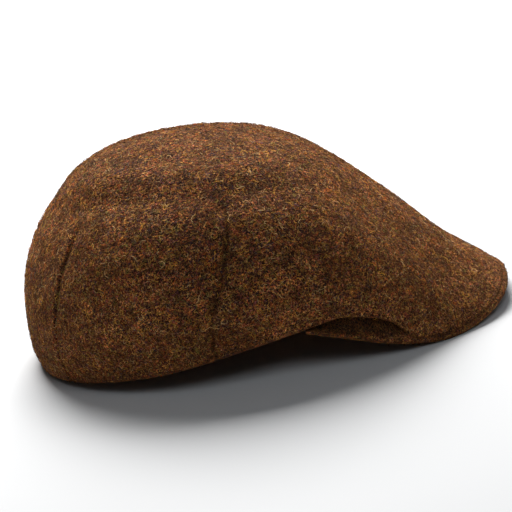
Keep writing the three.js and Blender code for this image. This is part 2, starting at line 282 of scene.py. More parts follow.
# %% [markdown]
# Everything that lies on the cloth is moved along its outward direction. Two short steps over the
# surface, one round and one up, span the cloth, and their cross product points out of it.

# %% Outward direction
BESIDE_TOP = 0.985  # share of the way up; all columns meet at 1, where no direction is round
STEP_ROUND = 1  # degrees
STEP_UP = 0.01


def crown_normal(degrees, share):
    near = np.minimum(share, BESIDE_TOP)
    around = crown_point(degrees + STEP_ROUND, near) - crown_point(degrees - STEP_ROUND, near)
    up = crown_point(degrees, near + STEP_UP) - crown_point(degrees, np.maximum(near - STEP_UP, 0))
    out = np.cross(up, around)
    return out / np.linalg.norm(out, axis=-1, keepdims=True)


print("the ear faces", np.round(crown_normal(*ear), 2))

# %% [markdown]
# A dart is a wedge of cloth that is sewn away. On the outside it shows as a sunk line between two
# soft swells, where the turned allowances lie behind the cloth, and it ends in a small pucker.
# The distances to a dart shape the cloth here, and later place painted shade in it.

# %% Darts
DART_ANGLES = (36, 87.8)  # degrees from the back, on both sides
DART_TOPS = (0.6, 0.56)  # share of the way up that each dart climbs
DART_PUCKERS = (0.3, 1.0)
DART_DEPTH = 1.3 * MM
DART_WIDTH = 1.1 * MM
DART_SWELL = 0.35 * MM
DART_SWELL_WIDTH = 5 * MM
DART_FADE = (-0.02, 0.04)  # share of the way up over which a dart runs out
PUCKER_DEPTH = 1.8 * MM
PUCKER_RADIUS = 5 * MM
SLOPE_STRETCH = 1.6  # way over the cloth near a dart's end, for each millimetre of the share's height


def dart_distances(degrees, share, radius):
    """For each dart its top, its pucker, and the way across it and above its end."""
    for angle, top, pucker in zip(DART_ANGLES, DART_TOPS, DART_PUCKERS):
        across = np.radians(abs(degrees) - angle) * radius
        above = (share - top) * CROWN_HEIGHT * SLOPE_STRETCH
        yield top, pucker, across, above


def dart_relief(degrees, share, radius):
    height = np.zeros_like(share)
    for top, pucker, across, above in dart_distances(degrees, share, radius):
        ends = smooth_step(top - share, *DART_FADE)
        line = DART_SWELL * bump(across, DART_SWELL_WIDTH) - DART_DEPTH * bump(across, DART_WIDTH)
        height += ends * line
        height -= PUCKER_DEPTH * pucker * bump(np.hypot(across, above), PUCKER_RADIUS)
    return height


at_dart = dart_relief(np.array([87.8]), np.array([0.3]), np.array([80 * MM]))
print("cloth at the ear dart, mm:", np.round(at_dart * 1000, 2))

# %% [markdown]
# Three more small forms lie on the smooth one. A soft fold turns the sides over into the top, the
# edge is pressed thin where it is sewn along the peak, and wool that was steamed into shape is
# never quite even. Each is a height along the normal, so they can simply be added up.

# %% Fold, pressed edge and unevenness
FOLD_VALLEY = [0.7, 0.7, 0.76, 0.73, 0.62, 0.58, 0.55]  # share of the way up, every 30 degrees
FOLD_DEPTH = [0.6 * MM, 1.3 * MM, 1.6 * MM, 1.6 * MM, 1.1 * MM, 0.3 * MM, 0]
FOLD_WIDTH = 6 * MM
EDGE_PRESS = 0.7 * MM
EDGE_PRESS_WIDTH = 4 * MM
LUMP_HEIGHT = 0.35 * MM
LUMPS_FROM = 20 * MM  # over the lower edge, which is pressed even


def lumps(point):
    """Slow, smooth unevenness from a few crossing waves, with their lengths in metres."""
    x, y, z = point[..., 0], point[..., 1], point[..., 2]
    first = np.sin(x / 0.0131 + 1.3 * np.sin(y / 0.017)) * np.sin(z / 0.0152 + 0.7)
    second = np.sin(y / 0.0095 + 2.1) * np.sin(x / 0.0187 + z / 0.0119)
    return first + 0.6 * second


def relief(degrees, share, height_up):
    """Height of the cloth over the smooth form; height_up is its way up from the lower edge."""
    here = crown_point(degrees, share)
    radius = np.hypot(here[..., 0] + APEX_BACK, here[..., 1])
    around = abs(lean(degrees, share)) / FRONT
    climb = (share - through_rows(FOLD_VALLEY, around)) * CROWN_HEIGHT
    folded = bump(climb - FOLD_WIDTH, FOLD_WIDTH) - bump(climb + FOLD_WIDTH, FOLD_WIDTH)
    height = through_rows(FOLD_DEPTH, around) * folded + dart_relief(degrees, share, radius)
    height -= EDGE_PRESS * sewn_down(degrees) * bump(height_up, EDGE_PRESS_WIDTH)
    return height + LUMP_HEIGHT * lumps(here) * smooth_step(height_up, 0, LUMPS_FROM)


print("relief at the ear, mm:", np.round(relief(*ear, np.array([40 * MM])) * 1000, 2))

# %% [markdown]
# The crown is one skin of cloth, outside and inside, so it starts as a UV sphere that is pushed in
# on itself: its upper half becomes the outside, its equator the turned hem and its lower half the
# inside. The sphere's own longitudes and latitudes say where each vertex goes, so there are no
# lists of faces to work out, and the shell is closed. Its columns crowd where the form is fine, at
# the darts and the pockets.

# %% Columns of the net
COLUMNS = 384
DART_CROWD = 3.5  # how much closer columns lie at a dart
DART_CROWD_WIDTH = 2.5  # degrees
POCKET_CROWD = 0.8
POCKET_CROWD_AT = 116
POCKET_CROWD_WIDTH = 14
FINE_STEPS = 20001
LENGTH_STEPS = 81


def crowded_columns(count):
    """Degrees of the net's columns, closer together at each dart and pocket."""
    fine = np.linspace(-FRONT, FRONT, FINE_STEPS)
    density = np.ones_like(fine)
    for angle in DART_ANGLES:
        both = bump(fine - angle, DART_CROWD_WIDTH) + bump(fine + angle, DART_CROWD_WIDTH)
        density += DART_CROWD * both
    density += POCKET_CROWD * bump(abs(fine) - POCKET_CROWD_AT, POCKET_CROWD_WIDTH)
    total = np.concatenate([[0], np.cumsum((density[1:] + density[:-1]) / 2)])
    return np.interp(np.arange(count) / count * total[-1], total, fine)


def column_length(degrees):
    """Way over the cloth from the lower edge to the highest point."""
    shares = np.linspace(0, 1, LENGTH_STEPS)
    around = np.repeat(degrees[None], LENGTH_STEPS, 0)
    line = crown_point(around, np.repeat(shares[:, None], len(degrees), 1))
    steps = np.linalg.norm(np.diff(line, axis=0), axis=-1)
    return shares, np.concatenate([np.zeros((1, len(degrees))), np.cumsum(steps, 0)])


column_degrees = crowded_columns(COLUMNS)
way_shares, column_way = column_length(column_degrees)
print("way over the cloth, mm:", round(1000 * column_way[-1].min()), "to", round(1000 * column_way[-1].max()))

# %% [markdown]
# Down a column, the rows go over the outside, round the rolled lower edge and up the inside. A
# real hem is the cloth turned under and sewn, so the inside is thicker there, with a step where
# the turned cloth ends. Where the edge is sewn along the peak its roll is tighter.

# %% Rows of the net: the way up from the lower edge and the depth below the outside
CLOTH = 2.2 * MM
HEM_DEPTH = 12 * MM
HEM_STEP = 1 * MM
HEM_ROLL = 1.5 * MM  # radius of the fold at the lower edge
EDGE_ROLL = 0.8 * MM  # the same where the cloth is sewn along the peak
OUTER_ROWS = 104
RIM_ROWS = 8
INNER_ROWS = 44
EVEN_SPACING = 0.35  # share of even spacing; the rest crowds the rows near the lower edge


def up_the_cloth(share, roll, total):
    return roll + (total - roll) * (EVEN_SPACING * share + (1 - EVEN_SPACING) * share ** 2)


def net_rows(degrees, total):
    """Way up and depth of every vertex of the net, row by row from the outer top to the inner."""
    roll = HEM_ROLL + (EDGE_ROLL - HEM_ROLL) * sewn_down(degrees)
    outer_up = up_the_cloth(np.linspace(1, 0, OUTER_ROWS + 1)[:, None], roll, total)
    turned = np.radians(np.linspace(0, 180, RIM_ROWS + 1))[1:-1, None]
    rim_up = roll * (1 - np.sin(turned))
    rim_depth = roll * (1 - np.cos(turned))
    inner_up = up_the_cloth(np.linspace(0, 1, INNER_ROWS + 1)[:, None], roll, total)
    hem = 1 - smooth_step(inner_up, HEM_DEPTH - HEM_STEP, HEM_DEPTH)
    inner_depth = CLOTH + (2 * roll - CLOTH) * hem
    up = np.concatenate([outer_up, rim_up, inner_up])
    depth = np.concatenate([0 * outer_up, rim_depth, inner_depth])
    return up, depth


net_up, net_depth = net_rows(column_degrees, column_way[-1])
print("rows of the net:", net_up.shape[0], "columns:", net_up.shape[1])

# %% [markdown]
# The peak is a curved crescent, and its top is a ruled surface: straight from the peak's inner
# edge, against the forehead, out to the seam. So a place on it needs only the inner edge, the
# direction out and the direction up at each turn.

# %% Top of the peak
PEAK_ROOT_INSET = 4 * MM
FRAME_STEP = 1  # degrees of turn on both sides, for the direction along the seam


def peak_root(turn):
    """Inner edge of the peak, a quarter of an ellipse inside the headband."""
    temple = seam(np.zeros_like(turn))
    reach = HEAD_HALF_LENGTH - PEAK_ROOT_INSET - temple[..., 0]
    x = temple[..., 0] + reach * np.sin(np.radians(turn))
    y = (temple[..., 1] - PEAK_ROOT_INSET) * np.cos(np.radians(turn))
    return np.stack([x, y, temple[..., 2]], -1)


def peak_frame(turn):
    """Inner edge of the peak, the way out to its seam, its width and its upward direction."""
    root, edge = peak_root(turn), seam(turn)
    ahead = seam(np.minimum(turn + FRAME_STEP, MIDDLE)) - seam(np.maximum(turn - FRAME_STEP, 0))
    width = np.linalg.norm(edge - root, axis=-1, keepdims=True)
    out = (edge - root) / width
    up = np.cross(ahead, out)
    return root, out, width, up / np.linalg.norm(up, axis=-1, keepdims=True)


print("width of the peak at the middle, mm:", np.round(peak_frame(np.array([90.0]))[2] * 1000, 1))

# %% [markdown]
# Along the peak the cloth lies on the peak's top. The curve of the sections knows nothing of the
# peak, so any part of the cloth's wall that would sink into it is lifted on to that top.

# %% Cloth lifted off the peak
LIFT_FROM = POCKET_END - 3
LIFT_STATIONS = 120
LIFT_DEEPEST = 12 * MM
POINTS_AT_ONCE = 4000  # a block of points, so that the table of distances stays small


def lift_off_peak(point):
    """Moves points of the left side up to the peak's top where they are below it."""
    root, out, width, up = peak_frame(np.linspace(LIFT_FROM - 1, MIDDLE, LIFT_STATIONS))
    middle = root + out * width / 2
    ahead = np.cross(out, up)
    flat = point.reshape(-1, 3)
    for start in range(0, len(flat), POINTS_AT_ONCE):
        some = flat[start:start + POINTS_AT_ONCE]
        nearest = abs(((some[:, None] - middle[None]) * ahead[None]).sum(-1)).argmin(1)
        height = ((some - root[nearest]) * up[nearest]).sum(-1)
        reach = ((some - root[nearest]) * out[nearest]).sum(-1)
        over = (reach > 0) & (height < 0) & (height > -LIFT_DEEPEST)
        some[over] -= height[over, None] * up[nearest][over]
    return flat.reshape(point.shape)


below = np.array([[100 * MM, 20 * MM, -35 * MM]])
print("lifted, mm:", np.round((lift_off_peak(below.copy()) - below) * 1000, 1))

# %% [markdown]
# Now the whole net can be worked out: the smooth form, its relief on the outside only, because
# the inside of folded cloth is smoother, and the depth of the wall below it.

# %% Net of the crown
AT_TOP = 0.999  # share of the way up from where the cloth simply faces up


def mirror(degrees):
    """Factors that swap left and right where the degrees are negative."""
    return np.where(degrees < 0, -1, 1)[..., None] ** np.array([0, 1, 0])


def crown_net(degrees, way, up, depth):
    """Place of every vertex of the crown's net, before the cap is tipped back."""
    columns = [np.interp(up[:, i], way[:, i], way_shares) for i in range(len(degrees))]
    share = np.stack(columns, 1)
    around = np.repeat(degrees[None], len(share), 0)
    inside = smooth_step(depth, 0.5 * CLOTH, CLOTH)
    normal = crown_normal(around, share)
    normal[share > AT_TOP] = (0, 0, 1)
    out = relief(around, share, up) * (1 - inside) - depth
    point = crown_point(around, share) + normal * out[..., None]
    left = point * mirror(around)
    front = turn_of(abs(degrees)) > LIFT_FROM
    left[:, front] = lift_off_peak(left[:, front].copy())
    return left * mirror(around)


crown_places = crown_net(column_degrees, column_way, net_up, net_depth)
crown_size = crown_places.max((0, 1)) - crown_places.min((0, 1))
print("crown before it is tipped, mm:", np.round(crown_size * 1000, 1))

# %% [markdown]
# Put down on a table, the cap rolls back until the back of its hem and the front corners of its
# peak touch. The angle and the shift are the solid model's, which MuJoCo let rest. The cloth that
# would reach below the floor is pressed flat against it.

# %% Tip the cap back on to the floor
REST_TILT = 9.2695  # degrees
REST_SHIFT = -23.749 * MM
REST_LIFT = 16.302 * MM


def on_floor(point):
    """From the level headband to the cap as it rests, with nothing below the floor."""
    angle = math.radians(REST_TILT)
    x = point[..., 0] * math.cos(angle) - point[..., 2] * math.sin(angle) + REST_SHIFT
    z = point[..., 0] * math.sin(angle) + point[..., 2] * math.cos(angle) + REST_LIFT
    return np.stack([x, point[..., 1], np.maximum(z, 0)], -1)


rested_crown = on_floor(crown_places)
print("highest point at rest, mm:", round(1000 * rested_crown[..., 2].max(), 1))

# %% [markdown]
# Blender's sphere operator makes one ring of vertices after another and closes both poles, which
# is just what the net needs. Each vertex reads its row and column from where it lies on the sphere
# and moves to the net's place. Both poles end at the highest point, outside and inside.

# %% Crown from a sphere


def into_scene(name, data):
    """Object for a mesh, a lamp or a camera, linked to the scene."""
    thing = bpy.data.objects.new(name, data)
    bpy.context.scene.collection.objects.link(thing)
    return thing


def crown_from_sphere(places):
    """Shell whose vertices take the net's places, and the cell of the net of each of them."""
    rows, columns = places.shape[0] - 1, places.shape[1]
    cells = []
    shell = bmesh.new()
    bmesh.ops.create_uvsphere(shell, u_segments=columns, v_segments=rows, radius=1)
    for vertex in shell.verts:
        row = round(math.acos(max(-1, min(1, vertex.co.z))) / math.pi * rows)
        column = round(math.atan2(vertex.co.y, vertex.co.x) / math.tau * columns) % columns
        vertex.co = places[row, column]
        cells.append((row, column))
    bmesh.ops.recalc_face_normals(shell, faces=shell.faces)
    mesh = bpy.data.meshes.new("crown_cloth")
    shell.to_mesh(mesh)
    shell.free()
    mesh.shade_smooth()
    return into_scene("crown_cloth", mesh), np.array(cells)


crown, crown_cells = crown_from_sphere(rested_crown)
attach(crown, "root")
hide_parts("crown")
print("crown:", len(crown.data.polygons), "faces in a node of, mm:")

# %% [markdown]
# The peak is a stiff board with the same tweed stretched round it. Its section is a long flat loop
# with a round rim, and it tapers towards the temples, where it runs out in two horns.

# %% Sections of the peak
PEAK_THICK = 4 * MM
PEAK_LEDGE = 3 * MM  # how far the rim stands out past the seam
HORN_THICK = 1.2 * MM
HORN_LENGTH = 18  # degrees of turn
SEAM_GAP = 0.3 * MM
TOP_STEPS = 14
RIM_STEPS = 10
STATIONS = 121
INNER_ROUNDING = 0.6  # the inner edge is a flatter curve than half a circle


def peak_section(turn):
    """Ring of places round the peak's section at one turn: out over the top, round the rim and
    back underneath."""
    root, out, width, up = (value[0] for value in peak_frame(np.array([turn])))
    taper = float(smooth_step(turn, 0, HORN_LENGTH))
    half = (HORN_THICK + (PEAK_THICK - HORN_THICK) * taper) / 2
    ledge = HORN_THICK / 2 + (PEAK_LEDGE - HORN_THICK / 2) * taper
    nose = min(half, ledge)
    over = np.linspace(0, width[0], TOP_STEPS)
    rim = np.linspace(math.pi / 2, -math.pi / 2, RIM_STEPS)
    inner = np.linspace(-math.pi / 2, -3 * math.pi / 2, RIM_STEPS)[1:-1]
    along = [*over, *(width[0] + ledge - nose + nose * np.cos(rim)), *over[::-1]]
    along += [*(half * np.cos(inner) * INNER_ROUNDING)]
    height = [half] * TOP_STEPS + [*(half * np.sin(rim))] + [-half] * TOP_STEPS
    height += [*(half * np.sin(inner))]
    return root + np.outer(along, out) + np.outer(np.array(height) - SEAM_GAP - half, up)


def both_sides(place):
    """Section at a place from -1, the right temple, to 1, the left one."""
    return peak_section(MIDDLE - MIDDLE * abs(place)) * (1, -1 if place < 0 else 1, 1)


peak_net = np.array([on_floor(both_sides(place)) for place in np.linspace(-1, 1, STATIONS)])
print("rings of the peak:", peak_net.shape[0], "with", peak_net.shape[1], "places each")

# %% [markdown]
# A ring of vertices at one temple is extruded again and again, and each new ring is set into the
# next section. Sweeping one profile along a curve would be shorter, but this profile changes all
# the way. The peak's top lies in shade under the cloth's edge, and that shade is painted: each vertex
# also stores how far it lies under that edge, and the tweed is painted darker by it.

# %% Peak from a ring
# painted shade under the cloth's edge
UNDER_EDGE = (0.7, 1)  # share of the way out over the top, where the shade under the edge ends


def shade_under_edge(ring_length):
    """Painted shade for each place round a section: 1 under the cloth's edge and 0 on the rim and below."""
    shade = np.zeros(ring_length)
    shade[:TOP_STEPS] = 1 - smooth_step(np.arange(TOP_STEPS) / (TOP_STEPS - 1), *UNDER_EDGE)
    return shade


def next_ring(loft, ring, edges):
    """Extrudes a ring and returns the new one in the same order, with its edges."""
    made = bmesh.ops.extrude_edge_only(loft, edges=edges)["geom"]
    new = {item for item in made if isinstance(item, bmesh.types.BMVert)}
    new_edges = [item for item in made if isinstance(item, bmesh.types.BMEdge) and new.issuperset(item.verts)]
    follow = {}
    for vertex in new:
        for edge in vertex.link_edges:
            follow[edge.other_vert(vertex)] = vertex
    return [follow[vertex] for vertex in ring], new_edges


def peak_from_ring(net):
    loft = bmesh.new()
    # painted shade under the cloth's edge, kept as the attribute seam
    edge_shade_layer = loft.verts.layers.float.new("seam")
    shade = shade_under_edge(net.shape[1])
    ring = bmesh.ops.create_circle(loft, segments=net.shape[1], radius=1, cap_ends=True)["verts"]
    edges = list(loft.edges)
    for index, section in enumerate(net):
        if index:
            ring, edges = next_ring(loft, ring, edges)
        for vertex, place, dark in zip(ring, section, shade):
            vertex.co = place
            vertex[edge_shade_layer] = dark
    bmesh.ops.edgeloop_fill(loft, edges=edges)
    bmesh.ops.recalc_face_normals(loft, faces=loft.faces)
    mesh = bpy.data.meshes.new("peak_cloth")
    loft.to_mesh(mesh)
    loft.free()
    mesh.shade_smooth()
    return into_scene("peak_cloth", mesh)


peak = peak_from_ring(peak_net)
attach(peak, "root")
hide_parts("peak")
print("peak:", len(peak.data.polygons), "faces in a node of, mm:")

# %% [markdown]
# A woven pattern has to follow the cloth and not the room, so the crown gets a UV map in metres,
# laid out as the cloth was before it was shaped: flat round the highest point. Its size is also
# that of the cloth the crown was cut from.

# %% Flat layout of the crown's cloth


def lay_out_crown(piece):
    """UV map in metres: the way from the highest point, in the direction seen from above."""
    layer = piece.data.uv_layers.new(name="cloth")
    way_down = (column_way[-1] - net_up).clip(0)
    turn = np.radians(FRONT - lean(column_degrees[None], 1 - way_down / column_way[-1]))
    flat = np.stack([way_down * np.cos(turn), way_down * np.sin(turn)], -1)
    corner_vertex = np.empty(len(piece.data.loops), int)
    piece.data.loops.foreach_get("vertex_index", corner_vertex)
    row, column = crown_cells[corner_vertex].T
    layer.data.foreach_set("uv", flat[row, column].astype(np.float32).ravel())


lay_out_crown(crown)

# %% [markdown]
# Light hardly reaches into a seam, so a real dart reads as a dark line more than as a groove. That
# shade is painted: every vertex of the crown stores how deep in a dart, a pucker or the rolled lower
# edge it lies, and the tweed is painted darker by that. The columns are fine enough there to carry it.

# %% Painted shade in the crown's seams and lower edge
# painted shade: where it fades at a dart's top, how strong it is in a pucker and along the lower edge
MARK_FADE = (-0.02, 0.03)
PUCKER_DARK = 1.3
PUCKER_DARK_RADIUS = 0.8 * PUCKER_RADIUS
EDGE_DARK = 0.5  # at the hem; along the peak it is twice this
EDGE_DARK_WIDTH = 1.2 * MM


# paints shade: darker where a vertex lies in a dart, a pucker or the rolled lower edge, kept as the attribute
# seam
def paint_seam_shade(piece):
    share = 1 - (column_way[-1] - net_up).clip(0) / column_way[-1]
    radius = np.hypot(crown_places[..., 0] + APEX_BACK, crown_places[..., 1])
    painted_shade = np.zeros_like(share)
    for top, pucker, across, above in dart_distances(column_degrees, share, radius):
        painted_shade += smooth_step(top - share, *MARK_FADE) * bump(across, DART_WIDTH)
        painted_shade += PUCKER_DARK * pucker * bump(np.hypot(across, above), PUCKER_DARK_RADIUS)
    painted_shade += EDGE_DARK * (1 + sewn_down(column_degrees)) * bump(net_up, EDGE_DARK_WIDTH)
    row, column = crown_cells.T
    marks = piece.data.attributes.new("seam", "FLOAT", "POINT")
    marks.data.foreach_set("value", painted_shade[row, column].clip(0, 1).astype(np.float32))
    return painted_shade


seam_shade = paint_seam_shade(crown)
print("share of the crown's vertices in a seam:", round(float((seam_shade > 0.5).mean()), 3))

# %% [markdown]
# Colours are written as the sRGB codes that a colour picker gives, while shaders count light, so
# one function turns a code to linear. One more adds a node with its settings and its links.

# %% Colours and nodes


def linear(code):
    """Linear colour from an sRGB hex code."""
    channels = (int(code[i:i + 2], 16) / 255 for i in (1, 3, 5))
    return (*(c / 12.92 if c <= 0.04045 else ((c + 0.055) / 1.055) ** 2.4 for c in channels), 1)


def add_node(tree, kind, inputs=None, **settings):
    """Adds a node with its settings; inputs gives each socket a number, a colour or a link."""
    made = tree.nodes.new(kind)
    for name, value in settings.items():
        setattr(made, name, value)
    for socket, value in (inputs or {}).items():
        if isinstance(value, bpy.types.NodeSocket):
            tree.links.new(value, made.inputs[socket])
        else:
            made.inputs[socket].default_value = value
    return made


print("rust wool in linear light:", [round(c, 3) for c in linear("#a0521f")])

# %% [markdown]
# Heather tweed is spun from wool of many colours, mixed before spinning, then woven and fulled
# until fibres blur the threads. Seen close, it is a speckle of rust, ochre, olive and plum on dark
# brown; from further off, a warm brown with cloudy patches. The speckle is a cell pattern with one
# wool for each cell, bent a little so that no cell is neat, and a slow noise gives the clouds.

# %% Blend of wools
FLECK = 0.56 * MM  # tuft of one colour
FLECKS = (
    (0.00, "#120c0b"),  # black-brown
    (0.22, "#2a1a14"),  # dark brown
    (0.42, "#4a2c1a"),  # umber
    (0.58, "#70421f"),  # chestnut
    (0.70, "#a0521f"),  # rust
    (0.79, "#a88038"),  # ochre
    (0.86, "#5d6030"),  # olive
    (0.91, "#6a2a22"),  # brick red
    (0.95, "#2c2a38"),  # navy
    (0.98, "#c8a878"),  # undyed cream
)
CLOUD = 6.5 * MM  # where one colour of wool is commoner than the others
CLOUDS = (
    (0.36, "#181626"),  # navy and black wool
    (0.44, "#381c30"),  # plum wool
    (0.50, "#5a2c26"),  # red-brown wool
    (0.56, "#8c4630"),  # rust wool
    (0.61, "#50422c"),  # olive and ochre wool
    (0.68, "#9a6838"),  # golden wool
)
FLECK_SHARE = 0.5  # the rest of the colour is the clouds'


def blend_of_wools(tree, place):
    """Colour of the wool, the middle of each tuft as a height, and a tone for each tuft."""
    tufts = add_node(tree, "ShaderNodeTexVoronoi", {"Vector": place, "Scale": 1 / FLECK})
    pick = add_node(tree, "ShaderNodeSeparateColor", {0: tufts.outputs["Color"]})
    clouds = {"Vector": place, "Scale": 1 / CLOUD, "Detail": 3.0, "Roughness": 0.65}
    cloud = add_node(tree, "ShaderNodeTexNoise", clouds)
    colours = []
    for value, wools, between in ((cloud, CLOUDS, "LINEAR"), (pick, FLECKS, "CONSTANT")):
        ramp = add_node(tree, "ShaderNodeValToRGB", {0: value.outputs[0]})
        ramp.color_ramp.interpolation = between
        stops = ramp.color_ramp.elements
        for index, (position, code) in enumerate(wools):
            stop = stops[index] if index < 2 else stops.new(position)
            stop.position = position
            stop.color = linear(code)
        colours.append(ramp.outputs[0])
    mixed = {0: FLECK_SHARE, 6: colours[0], 7: colours[1]}
    wool = add_node(tree, "ShaderNodeMix", mixed, data_type="RGBA").outputs[2]
    return wool, tufts.outputs["Distance"], pick.outputs[2]


print("wools in the blend:", len(FLECKS), "as flecks,", len(CLOUDS), "as clouds")

# %% [markdown]
# Single fibres cross the tufts in loops about 2 mm wide. A line where a noise crosses its middle
# value is just such a thin, curled, endless thread. A real fibre is a fiftieth of a millimetre
# thick, too fine to show here, so the lines are drawn about a tenth of a millimetre wide.

# %% Crossing fibres
FIBRES = (
    (2.1 * MM, 0.0, "#cc9444", 0.8),  # golden wool: size of its loops, seed, colour, share of cover
    (2.5 * MM, 3.0, "#be5a2e", 0.6),  # rust wool
    (2.3 * MM, 7.0, "#7a6a44", 0.35),  # olive wool
    (2.2 * MM, 17.0, "#443a50", 0.32),  # navy wool
    (1.7 * MM, 11.0, "#0d0a0c", 0.95),  # black wool
)
FIBRE_WIDTH = 0.045  # half the width of a fibre line, as a change of the noise that draws it


def fibre_lines(tree, place, size, seed):
    """Thin curled lines where a noise crosses its middle value, 1 on a line and 0 beside it."""
    loops = {"Vector": place, "W": seed, "Scale": 1 / size, "Detail": 1.2, "Distortion": 0.4}
    noise = add_node(tree, "ShaderNodeTexNoise", loops, noise_dimensions="4D").outputs[0]
    off = add_node(tree, "ShaderNodeMath", {0: noise, 1: 0.5}, operation="SUBTRACT").outputs[0]
    away = add_node(tree, "ShaderNodeMath", {0: off}, operation="ABSOLUTE").outputs[0]
    line = {"Value": away, "From Max": FIBRE_WIDTH, "To Min": 1.0, "To Max": 0.0}
    return add_node(tree, "ShaderNodeMapRange", line).outputs[0]


def crossing_fibres(tree, place, wool):
    """Wool with every kind of fibre laid over it, and 1 where a fibre lies."""
    raised = 0.0
    for size, seed, code, cover in FIBRES:
        line = fibre_lines(tree, place, size, seed)
        share = add_node(tree, "ShaderNodeMath", {0: line, 1: cover}, operation="MULTIPLY").outputs[0]
        laid = {0: share, 6: wool, 7: linear(code)}
        wool = add_node(tree, "ShaderNodeMix", laid, data_type="RGBA").outputs[2]
        raised = add_node(tree, "ShaderNodeMath", {0: raised, 1: line}, operation="MAXIMUM").outputs[0]
    return wool, raised


print("kinds of fibre:", len(FIBRES))

# %% [markdown]
# The threads are nearly blurred away, and show as faint lines of weft and as yarns that are a
# little lighter or darker than their neighbours. Both follow the flat layout. Slower changes, from
# wear and from steaming, run over the whole cap in space.

# %% Yarns, weft and patches
WEFT_LINES = 2.1 * MM  # every second yarn shows as a faint line
YARN_LENGTH = 5 * MM  # how far one tone runs along a yarn
PATCH = 9 * MM  # where the cloth is lighter or darker
SHADE_PATCH = 26 * MM  # slow change of tone over the cloth
WAVE_SCALE = math.tau / 20  # how far apart a wave texture's bands are at a scale of 1


def yarns_and_weft(tree, cloth):
    """A tone for each yarn, and the waves of the weft, over the flat layout."""
    yarn_size = (1 / YARN_LENGTH, 2 / WEFT_LINES, 1)
    along = add_node(tree, "ShaderNodeMapping", {"Vector": cloth, "Scale": yarn_size}).outputs[0]
    cells = {"Vector": along, "Scale": 1.0}
    yarns = add_node(tree, "ShaderNodeTexVoronoi", cells, voronoi_dimensions="2D")
    tone = add_node(tree, "ShaderNodeSeparateColor", {0: yarns.outputs["Color"]}).outputs[1]
    wave = {"Vector": cloth, "Scale": WAVE_SCALE / WEFT_LINES, "Distortion": 1.5, "Detail": 1.0}
    wave["Detail Scale"] = 60.0
    weft = add_node(tree, "ShaderNodeTexWave", wave, bands_direction="Y").outputs[1]
    return tone, weft


def patch_tone(tree, place):
    """Tone of the wool, light and dark in patches, the same for the cloth and its loose fibres."""
    patches = {"Vector": place, "Scale": 1 / PATCH, "Detail": 3.0, "Roughness": 0.6}
    patch = add_node(tree, "ShaderNodeTexNoise", patches).outputs[0]
    level = {"Value": patch, "From Min": 0.36, "From Max": 0.64, "To Min": 0.68, "To Max": 1.3}
    return add_node(tree, "ShaderNodeMapRange", level).outputs[0]


print("weft lines a centimetre:", round(10 * MM / WEFT_LINES, 1))

# %% [markdown]
# Fulled wool has no shine of its own: it scatters light deep in its nap, which gives the eye a
# soft matt surface, and its standing fibre ends glow warm at a grazing angle. So roughness is near
# 1, specular low, and a sheen in the colour of the golden wool makes the glow. Wool's IOR of about
# 1.55 is close to the shader's own 1.5, which is kept, and it is no metal.

# %% Surface of wool
WOOL_GLOW = "#d08644"


def wool_surface(name, roughness, specular, sheen, sheen_roughness):
    """New material with the surface of wool, its node tree and its shader."""
    material = bpy.data.materials.new(name)
    material.use_nodes = True
    shader = material.node_tree.nodes["Principled BSDF"]
    shader.inputs["Roughness"].default_value = roughness
    shader.inputs["Specular IOR Level"].default_value = specular
    shader.inputs["Sheen Weight"].default_value = sheen
    shader.inputs["Sheen Roughness"].default_value = sheen_roughness
    shader.inputs["Sheen Tint"].default_value = linear(WOOL_GLOW)
    return material, material.node_tree, shader


print("glow of the nap in linear light:", [round(c, 3) for c in linear(WOOL_GLOW)])

# %% [markdown]
# The tweed brings these together. The blend's tufts are bent by a fine noise, the fibres cross
# them, and the tones of patches, tufts and yarns are multiplied with painted shade between the fibres and in
# the seams, as light and shade are.
# The same patterns raise the surface a little by a bump, so that a bright fibre also lies on top.

# %% Heather tweed
STRAY_SIZE = 1.4 * MM
STRAY_REACH = 1.6 * MM  # how far a tuft's edge is bent
NAP_HEIGHT = 0.6 * MM
FIBRE_RISE = 0.6  # against the rise of a tuft
WEFT_RISE = 0.35


def multiplied(tree, value, levels):
    """Value times each level: a pattern from 0 to 1 that is mapped between two factors."""
    for pattern, low, high in levels:
        mapped = {"Value": pattern, "To Min": low, "To Max": high}
        level = add_node(tree, "ShaderNodeMapRange", mapped).outputs[0]
        value = add_node(tree, "ShaderNodeMath", {0: value, 1: level}, operation="MULTIPLY").outputs[0]
    return value


